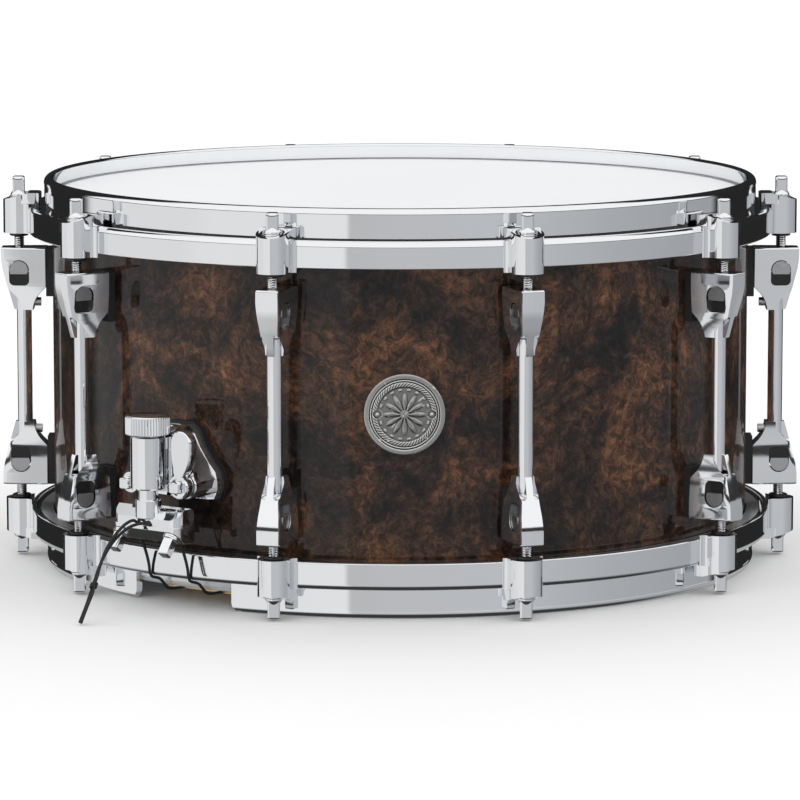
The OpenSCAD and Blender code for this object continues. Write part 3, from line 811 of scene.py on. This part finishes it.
def make_badge():
    """A round badge bent to the shell: moulded rings, a twisted rope ring and a fluted rosette."""
    outer = 19.4
    radii = [0.05] + list(np.linspace(0.8, 12.8, 25))
    radii += [13.1, 13.4, 13.7, 13.95, 14.2, 14.5, 14.8, 15.1, 15.4]
    radii += [15.6, 15.8, 16.0, 16.25, 16.5, 16.7, 16.9, 17.1, 17.4, 17.8, 18.3, 18.8, 19.15, 19.3, outer]
    steps = 360

    def height(r, a):
        base = 0.75
        to_pin = math.hypot(abs(r * math.cos(a)) - 13, r * math.sin(a))
        if to_pin < 1.9:
            return 0.3
        if r < 2.2:
            return base + 0.55 + 0.3 * math.sqrt(max(0.0, 1 - (r / 2.2) ** 2))
        if r < 10.6:
            petals = abs(math.cos(6 * a))
            reach = 3.2 + 7.2 * petals**0.7
            inside = max(0.0, 1 - r / reach)
            ridge = petals * min(1.0, inside * 4)
            return base + 0.75 * ridge**0.8
        if 11.3 < r < 12.5:
            bead = max(0.0, math.cos(18 * a)) ** 0.5
            shape = max(0.0, 1 - ((r - 11.9) / 0.6) ** 2)
            return base + 0.45 * bead * shape
        if 13.4 <= r <= 15.4:
            rope = 0.5 + 0.5 * math.sin(60 * a + 4.0 * (r - 14.4))
            return base + 0.35 + 0.3 * rope * math.sqrt(max(0.0, 1 - ((r - 14.4) / 1.05) ** 2))
        if 15.9 < r < 16.6:
            return base + 0.5
        if r > 17.0:
            return base + 0.45 + 0.35 * math.sqrt(max(0.0, 1 - ((r - 18.2) / 1.25) ** 2))
        return base

    top, under = [], []
    for r in radii:
        ring_top, ring_under = [], []
        for k in range(steps):
            a = 2 * math.pi * k / steps
            y, z = r * math.cos(a), r * math.sin(a)
            sag = SHELL_R - math.sqrt(SHELL_R**2 - y * y)
            ring_top.append((SHELL_R - sag + height(r, a), y, MID_Z + z))
            ring_under.append((SHELL_R - sag + 0.02, y, MID_Z + z))
        top.append(ring_top)
        under.append(ring_under)
    rings = [under[0], under[-1]] + list(reversed(top))
    shape = facing_out(grid(rings))
    piece("badge_disc", at_angle(shape, BADGE_ANGLE), "badge_metal", "drum", ["badge"], sharp=70)
    pin = turned([(0.9, 0), (0.95, 1.0), (0.85, 1.25), (0.5, 1.45), (0.05, 1.5)], 20)
    pins = joined([outward(pin, SHELL_R - 0.1, side * 13, MID_Z) for side in (-1, 1)])
    piece("badge_nails", at_angle(pins, BADGE_ANGLE), "badge_metal", "drum", ["badge_pins"])
    lip = [(6.4, 0.3), (8.7, 0.3), (9.0, 0.6), (8.6, 1.1), (6, 1.4), (4.9, 1.3)]
    vent = lathe([(4.5, -7), (6.4, -7)] + lip + [(4.5, 0.8)], 64)
    piece("vent_grommet", at_angle(outward(vent, SHELL_R, 0, MID_Z), 180), "chrome", "drum", ["air_vent"])


# ---- strainer ----


def strainer_piece(name, shape, body, node, sharp):
    """A chrome piece, at the strainer's station."""
    return piece(name, at_angle(shape, STRAINER), "chrome", body, [node], sharp=sharp)


def strainer_outline(inset):
    """The base plate's outline as (y, z), or the gasket's with no inset."""
    points = [(-21 + inset, 60), (-21 + inset, 66)]
    points += [(-16, 71 - inset), (-9.5 + inset, 75), (-9.5 + inset, 87)]
    points += arc(-5.5 + inset, 87 - inset, 4, 180, 90, 3)
    points += [(8.0, 91 - inset), (12.2 - inset, 88.2 - inset), (16 - inset, 80)]
    points += [(21 - inset, 73.0), (25.2 - inset, 68.5), (26.4 - inset, 64), (26.4 - inset, 60)]
    points += [(23.5, 54.6 + inset), (19, 54 + inset), (-15, 54 + inset), (-19.5, 56 + inset)]
    return points


def bolt_shape(head, shaft_from, head_at):
    """A square-headed bolt along its own z axis, with a washer face under its head."""
    shank_r, washer_r, end = 1.98, BOLT_FLAT * 0.72, head_at + head

    def square(a, s=0.0):
        return min((BOLT_FLAT / 2) / max(abs(math.cos(a)), abs(math.sin(a))), BOLT_FLAT * 0.62) - s

    levels = [(shank_r, shaft_from), (shank_r, head_at), (washer_r, head_at + 0.02)]
    levels += [(washer_r, head_at + 0.7), (square, head_at + 0.75), (square, end - 0.7)]
    levels += [(lambda a: square(a, 0.35), end - 0.2), (lambda a: square(a, 0.9), end)]
    return turned(levels, 48)


def make_strainer_base():
    """The base: plate, slotted block, flared web, lever barrel and bolt ear, with its gasket and bolts."""
    back = SHELL_R + 3
    plate_front = back + 4
    rear = plate_front - 1
    plate = facing(strainer_outline(0.8), back, plate_front)
    steps = [(rear, 57), (197.0, 57), (197.0, 79.5), (195.3, 79.6), (195.3, 88), (193.6, 90), (rear, 90)]
    block = sideways(steps, 16)
    foot = [(7, 58), (14, 57.2), (20, 57.6), (24, 61), (24.8, 65.5)]
    foot += [(21, 71.5), (15.5, 78.5), (11, 86), (7, 86.5)]
    crest = [(11, 60), (14, 57.8), (19, 57.2), (22.8, 60), (23.4, 65)]
    crest += [(22.2, 70), (22.6, 77), (18.8, 84.2), (13.6, 83)]
    web_rings = []
    for t in np.linspace(0, 1, 6):
        x = plate_front - 0.5 + t * (199.2 - plate_front + 0.5)
        mix = t**1.3
        ring = [(a * (1 - mix) + c * mix, b * (1 - mix) + d * mix) for (a, b), (c, d) in zip(foot, crest)]
        web_rings.append([(x, y, z) for y, z in ring])
    web = facing_out(grid(web_rings))
    barrel = turned([(6.5, 0), (6.5, 14.2), (6.3, 14.5), (5.9, 14.8)], 48)
    barrel = outward(barrel, plate_front - 0.2, LEVER_Y, LEVER_Z)
    ear = outward(turned([(5.4, 0), (5.2, 8), (5.0, 16), (4.6, 16.2)], 40), plate_front - 0.2, EAR_Y, EAR_Z)
    slot = sideways([(189.0, 50), (203, 50), (203, 96), (189.0, 96)], 8.4)
    shape = worked(plate, add=[block, web, barrel, ear], cut=[slot], bevel=0.45, limit=32)
    obj = strainer_piece("base_casting", shape, "drum", "strainer_base", 35)
    obj.data.materials.append(MATERIALS["satin_chrome"])
    for face, corners in zip(obj.data.polygons, shape[1]):
        x, y, z = shape[0][list(corners)].mean(axis=0)
        on_barrel = math.hypot(y - LEVER_Y, z - LEVER_Z) < 7
        if y > 8.4 and x > plate_front + 0.1 and not on_barrel:
            face.material_index = 1
    shell = curved_block(SHELL_R, 12, 32, 150, 45, 20, 120)
    gasket = at_angle(worked(facing(strainer_outline(0), SHELL_R - 1, back), cut=[shell]), STRAINER)
    piece("base_gasket", gasket, "black_rubber", "drum", ["strainer_gasket"], smooth=False)
    left = outward(bolt_shape(5, -5, 0), 201, EAR_Y, EAR_Z)
    right = outward(bolt_shape(5, -15, 0), 203.5, LEVER_Y, LEVER_Z)
    strainer_piece("base_bolts", joined([left, right]), "drum", "strainer_base_bolts", 28)


def make_lever():
    """The throw-off: a domed paddle with a rounded tip, on a hub with a recess for the bolt."""
    back, front = 199.9, 205.4
    tip_y, tip_z, tip_r = 19.2, 84.2, 6.3
    outline = arc(tip_y, tip_z, tip_r, -8, 188, 22)
    outline += [(13.2, 79.0), (13.8, 75.2), (14.5, 72.2), (14.7, 69.8)]
    outline += arc(LEVER_Y, LEVER_Z, 5.9, 112, 424, 34)
    outline += [(21.6, 69.8), (23.2, 72.2), (24.5, 75.4), (25.2, 79.2)]
    slices = [(back, 0.93), (back + 0.5, 0.985), (back + 1.2, 1.0)]
    slices += [(front - 1.4, 1.0), (front - 0.5, 0.96), (front - 0.1, 0.88)]
    rings = []
    for x, scale in slices:
        ring = []
        for y, z in outline:
            t = np.clip((z - LEVER_Z) / (tip_z - LEVER_Z), 0, 1)
            cy = LEVER_Y + (tip_y - LEVER_Y) * t
            cz = LEVER_Z + (tip_z - LEVER_Z) * t
            ring.append((x, cy + (y - cy) * scale, cz + (z - cz) * scale))
        rings.append(ring)
    recess = outward(turned([(4.3, 0), (4.3, 6)], 40), 203.2, LEVER_Y, LEVER_Z)
    hole = outward(turned([(2.06, 0), (2.06, 12)], 32), back - 3, LEVER_Y, LEVER_Z)
    shape = worked(facing_out(grid(rings)), cut=[recess, hole])
    strainer_piece("lever_paddle", shape, "lever", "throwoff_lever", 35)


def make_carriage():
    """The cylinder that the knob turns in, and the rib that slides in the base."""
    levels = [(7.9, 61.2), (8.5, 61.8), (8.5, 70), (8.5, 86.3), (8.2, 86.75), (7.7, 86.9)]
    rib = sideways([(189.5, 62), (199.5, 62), (199.5, 85), (189.5, 85)], 7.8)
    bores = [turned([(4.82, 50), (4.82, 80)], 48, SCREW_R), turned([(2.6, 70), (2.6, 95)], 32, SCREW_R)]
    shape = worked(turned(levels, 64, SCREW_R), add=[rib], cut=bores)
    strainer_piece("carriage_cylinder", shape, "carriage", "strainer_carriage", 30)


def make_knob():
    """A straight-knurled knob with a slightly domed top."""
    ridges = 48

    def knurl(base, depth):
        return lambda a: base - depth * (0.5 - 0.5 * math.cos(ridges * a)) ** 0.6

    edge, side = knurl(10.75, 0.25), knurl(10.8, 0.5)
    levels = [(2.5, 66.0), (2.5, 87.2), (9.9, 87.22), (10.3, 87.5), (edge, 87.9)]
    levels += [(side, 88.3), (side, 92), (side, 95.6), (edge, 96.1)]
    levels += [(10.4, 96.55), (9.9, 96.85), (9.2, 96.97), (7.0, 97.07), (4.0, 97.16), (0.2, 97.2)]
    strainer_piece("knurled_knob", turned(levels, ridges * 6, SCREW_R), "knob", "tension_knob", 40)


def make_clamp():
    """The clamp on the knob's screw: stem and boss, two jaws, and two slanting bolts with washers."""
    stem = turned([(4.75, 55.5), (4.75, 76)], 48, SCREW_R)
    boss = turned([(6.0, 47), (6.3, 47.4), (6.3, 55.4), (6.1, 55.8), (5.7, 56)], 56, SCREW_R)
    strainer_piece("stem_and_boss", joined([stem, boss]), "cord_clamp", "clamp_stem", 30)
    split = 43.6
    half = 20
    outline = [(196, split), (196, 50.5), (198, 52), (203.5, 52), (209.2, 47.2), (209.2, split)]
    boss_hole = turned([(6.32, 47), (6.32, 60)], 48, SCREW_R)
    upper = worked(clamp_jaw(outline, half, 5), cut=[boss_hole], bevel=0.5, segments=3, limit=35)
    strainer_piece("jaw_upper", upper, "cord_clamp", "clamp_upper_jaw", 40)
    outline = [(195.5, 35.5), (195.5, split), (209.4, split), (209.6, 41.6), (203.6, 35.5)]
    lower = worked(clamp_jaw(outline, half, 4), bevel=0.5, segments=3, limit=35)
    strainer_piece("jaw_lower", lower, "cord_clamp", "clamp_lower_jaw", 40)
    tilt = math.radians(37)
    bolt = bolt_shape(9.3, -8, 1.0)
    washer = turned([(3.9, -0.02), (4.1, 0.15), (4.1, 0.8), (3.8, 1.0)], 36)
    shapes = []
    for side in (-1, 1):
        for points, faces in (bolt, washer):
            x, y, z = points[:, 0], points[:, 1], points[:, 2]
            out_x = math.sin(tilt) * z + math.cos(tilt) * x
            down = -math.cos(tilt) * z + math.sin(tilt) * x
            shapes.append((np.stack([207.2 + out_x, y + side * 15.3, 39 + down], axis=1), faces))
    strainer_piece("jaw_bolts", joined(shapes), "cord_clamp", "clamp_bolts", 28)


def clamp_jaw(outline, half, round_r):
    """An extruded jaw whose ends are rounded in plan."""
    xs = [x for x, _ in outline]
    front = max(xs) + 0.01
    back = min(xs) - 0.01
    plan = [(back, -half), (front - round_r, -half)]
    plan += arc(front - round_r, -half + round_r, round_r, -90, 0, 5)[1:]
    plan += arc(front - round_r, half - round_r, round_r, 0, 90, 5)
    plan += [(back, half)]
    return worked(sideways(outline, 2 * half), keep=[upright(plan, 20, 70)])


# ---- cords ----

CORD_D = 1.5
CORD_ROUTE = [
    (194.5, 30), (192.4, 25), (191, 20.5), (190.4, 17), (188.9, 14.6), (186, 13.6),
    (182.6, 12.4), (179.5, 9.7), (176.5, 7), (172, 6), (168, 5.8), (164.1, 5.6),
]
TAIL_A = [
    (209.4, -3, 44), (211.5, -5, 45.8), (216, -6, 44.5), (219, -6.8, 42.4), (222, -7.4, 40),
    (224.6, -7.8, 37.6), (227, -8, 35), (229.6, -8, 32), (232, -7.8, 28.6), (234.2, -7.4, 25.6),
    (236, -7, 22.6), (238.4, -6.9, 18.5), (240.4, -6.7, 14.4), (242.2, -6.6, 11.8),
    (244, -6.6, 9.3), (246.8, -6.5, 5.3), (249.6, -6.4, 1.2),
]
TAIL_B = [
    (209.4, 4, 44), (212, 0.5, 44.9), (215, -3.6, 43.4), (218, -6, 41), (220.6, -7.4, 38.6),
    (223.2, -8.4, 36), (225.8, -9.1, 33), (228.6, -9.4, 29.8), (231.2, -9.4, 26.6), (233.6, -9.1, 23.6),
    (235.8, -8.7, 20.6), (238.2, -8.4, 17), (240.4, -8.3, 13.4), (242, -8.2, 10.9),
    (243.6, -8.1, 8.4), (246, -8, 5), (248.6, -7.9, 1.2),
]
KNOT = (238.3, -7.6, 17.7)


def cord_pair(top):
    """The two strands from a clamp, through the hoop's gate to the snares' end plate."""
    apart = 12
    tubes = []
    for side in (-1, 1):
        route = smooth_route([(p[0], side * apart, p[1]) for p in [top] + CORD_ROUTE])
        tubes.append(tube_along(route, CORD_D / 2, 10))
    return joined(tubes)


def knot_shape():
    """A tight knot: three turns of cord along a slanting line."""
    turns = []
    for k in range(61):
        a = 2 * math.pi * k / 20
        slide = (k - 30) / 30 * 1.5
        x = KNOT[0] + 1.25 * math.cos(a) + 0.45 * slide
        turns.append((x, KNOT[1] + 1.25 * math.sin(a), KNOT[2] + 0.5 * math.cos(a) - 0.85 * slide))
    return tube_along(turns, 0.62, 8, across=(0.45, 0.1, -0.85))


def make_cords():
    """The strands over both gates, and the loose tail: two hanging strands and the knot that ties them."""
    strands = at_angle(cord_pair((197, 35.1)), STRAINER)
    strands = piece("clamp_cord", strands, "black_cord", None, ["strainer_cord"])
    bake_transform(strands)
    piece("butt_strands", at_angle(cord_pair((197, 33.5)), BUTT), "black_cord", "drum", ["butt_cord"])
    route_a, route_b = smooth_route(TAIL_A), smooth_route(TAIL_B)
    tail_a, tail_b = (
        piece(name, at_angle(tube_along(route, CORD_D / 2, 10), STRAINER), "black_cord", None)
        for name, route in (("cord_tail_a", route_a), ("cord_tail_b", route_b))
    )
    knot = piece("cord_knot", at_angle(knot_shape(), STRAINER), "black_cord", None)
    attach(knot, "drum")
    for obj in (tail_a, tail_b):
        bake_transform(obj)
    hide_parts("cord_tail")


# ---- butt and snares ----


def make_butt():
    """The fixed end: a block on the shell, a plate under it that grips the cord, and four bolts."""
    back = SHELL_R + 3
    front = back + 5
    base_z, apart = 62, 10
    outline = [(back, 41), (back, 69), (back + 4, 69), (front, 56)]
    outline += [(192, 54), (198, 49.5), (198, 40), (front, 40)]
    cuts = [outward(turned([(4.7, 0), (4.7, 20)], 32), back + 3, y, base_z) for y in (-apart, apart)]
    block = worked(sideways(outline, 34), cut=cuts, bevel=0.7, segments=3)
    piece("butt_block", at_angle(block, BUTT), "chrome", "drum", ["butt_base"], sharp=40)
    plate = sideways([(front, 34), (back + 18, 34), (back + 18, 40), (front, 40)], 36)
    plate = worked(plate, bevel=0.7, segments=3)
    piece("butt_plate", at_angle(plate, BUTT), "chrome", "drum", ["butt_clamp"], sharp=40)
    shapes = [outward(bolt_shape(3.0, -8, 0), back + 3.2, y, base_z) for y in (-apart, apart)]
    for y in (-6, 6):
        points, faces = bolt_shape(6, -12, 0)
        shapes.append((points * np.array([1, -1, -1]) + np.array([193, y, 34]), faces))
    piece("butt_screws", at_angle(joined(shapes), BUTT), "chrome", "drum", ["butt_bolts"], sharp=28)
    dress("butt_gasket", "black_rubber")


def make_snares():
    """Twenty coiled wires soldered to two plates."""
    count, pitch, half = 20, 2.05, 160
    coil_pitch = 2.2
    per_turn = 7
    coil_r, wire_r, coil_z = 0.62, 0.22, 7.05
    steps = int(2 * half / coil_pitch * per_turn)
    strands = []
    base_x = np.linspace(-half, half, steps + 1)
    angle = np.arange(steps + 1) * 2 * math.pi / per_turn
    ahead = np.array([1, 0, 0])
    for i in range(count):
        y0 = (i - (count - 1) / 2) * pitch
        centre = np.stack([base_x, y0 + coil_r * np.cos(angle), coil_z + coil_r * np.sin(angle)], axis=1)
        out = np.stack([np.zeros(steps + 1), np.cos(angle), np.sin(angle)], axis=1)
        corners = [centre + wire_r * d for d in (out, ahead, -out, -ahead)]
        rings = np.stack(corners, axis=1)
        strands.append(grid(rings.tolist()))
    wires = at_angle(joined(strands), STRAINER)
    piece("coiled_wires", wires, "snare_wire_steel", "snares", ["snare_wires"], sharp=89)
    low = 5.0
    plates = []
    for side in (-1, 1):
        outline = [(side * 150, low), (side * 164, low), (side * 164, low + 1.2), (side * 150, low + 1.2)]
        plates.append(worked(sideways(outline, 44), bevel=0.25))
    piece("end_plates", at_angle(joined(plates), STRAINER), "brass_plate", "snares", ["snare_end_plates"])


# ---- stage, lights and camera ----


def make_stage():
    """The plain pale floor, which chrome doesn't mirror."""
    bpy.ops.mesh.primitive_plane_add(size=12, location=(0, 0, 0))
    floor = bpy.context.object
    floor.name = "floor"
    floor.visible_glossy = False
    material, _, shader = node_material("floor_white")
    set_inputs(shader, {"Base Color": (0.93, 0.93, 0.93, 1), "Roughness": 1.0, "Specular IOR Level": 0.0})
    floor.data.materials.append(material)


def make_world():
    """A studio wrapped round the drum: what chrome sees by direction, and even white light for the rest.

    Angles are degrees round the drum from the front towards +X, and heights are the direction's own z.
    """
    world = bpy.data.worlds.new("studio")
    bpy.context.scene.world = world
    world.use_nodes = True
    tree = world.node_tree
    tree.nodes.clear()
    split = tree.nodes.new("ShaderNodeSeparateXYZ")
    tree.links.new(tree.nodes.new("ShaderNodeTexCoord").outputs["Generated"], split.inputs["Vector"])
    turn = tree.nodes.new("ShaderNodeMath")
    turn.operation = "ARCTAN2"
    tree.links.new(split.outputs["X"], turn.inputs[0])
    tree.links.new(product(tree, split.outputs["Y"], -1.0), turn.inputs[1])
    around = mapped(tree, turn.outputs["Value"], -math.pi, math.pi)
    height = mapped(tree, split.outputs["Z"], -1.0, 1.0)

    def by_angle(stops):
        places = [((a + 180) / 360, grey(v) if isinstance(v, float) else v) for a, v in stops]
        return ramp(tree, around, places)

    def by_height(stops):
        return ramp(tree, height, [((z + 1) / 2, grey(v)) for z, v in stops])

    def over(under, shade, amount):
        return mixed(tree, under, (*grey(shade), 1), amount)

    walls = by_angle(
        [
            (-180, 0.42), (-120, 0.42), (-116, 0.76), (-70, 0.76), (-62, 0.80), (-40, 0.80), (-16.3, 0.82),
            (-16.1, 0.52), (-4, (0.53, 0.535, 0.55)), (30, (0.53, 0.54, 0.56)), (70, (0.42, 0.43, 0.45)),
            (116, (0.35, 0.36, 0.38)), (120, 0.40), (180, 0.42),
        ]
    )
    line = over(walls, 0.03, by_height([(0.04, 0.0), (0.05, 1.0)]))
    sky = over(line, 0.98, by_height([(0.13, 0.0), (0.15, 1.0)]))
    behind = by_angle([(-122, 1.0), (-118, 0.0), (118, 0.0), (122, 1.0)])
    band = by_height([(-0.235, 0.0), (-0.20, 1.0), (0.74, 1.0), (0.80, 0.0)])
    room = over(sky, 0.02, product(tree, behind, band))
    ground = over(room, 0.04, by_height([(-0.75, 1.0), (-0.45, 0.0)]))
    seen = tree.nodes.new("ShaderNodeBackground")
    tree.links.new(ground, seen.inputs["Color"])
    even = tree.nodes.new("ShaderNodeBackground")
    even.inputs["Color"].default_value = (1.12, 1.12, 1.12, 1)
    path = tree.nodes.new("ShaderNodeLightPath")
    mix = tree.nodes.new("ShaderNodeMixShader")
    tree.links.new(path.outputs["Is Glossy Ray"], mix.inputs["Fac"])
    tree.links.new(even.outputs["Background"], mix.inputs[1])
    tree.links.new(seen.outputs["Background"], mix.inputs[2])
    out = tree.nodes.new("ShaderNodeOutputWorld")
    tree.links.new(mix.outputs["Shader"], out.inputs["Surface"])


def make_camera():
    """A long lens in front of the drum, a little above it and looking slightly down."""
    camera = bpy.data.objects.new("camera", bpy.data.cameras.new("camera"))
    bpy.context.scene.collection.objects.link(camera)
    camera.location = (0.0, -2.39155, 0.4199)
    camera.rotation_euler = (math.radians(81.92), 0.0, 0.0)
    camera.data.lens = 210.9
    camera.data.sensor_width = 36.0
    camera.data.clip_end = 50.0
    bpy.context.scene.camera = camera
    bpy.context.scene.view_settings.view_transform = "Standard"


make_camera()
make_cords()
make_stage()
make_world()
make_shell()
make_heads()
make_hoops()
make_fittings()
make_badge()
make_strainer_base()
make_lever()
make_carriage()
make_knob()
make_clamp()
make_butt()
make_snares()
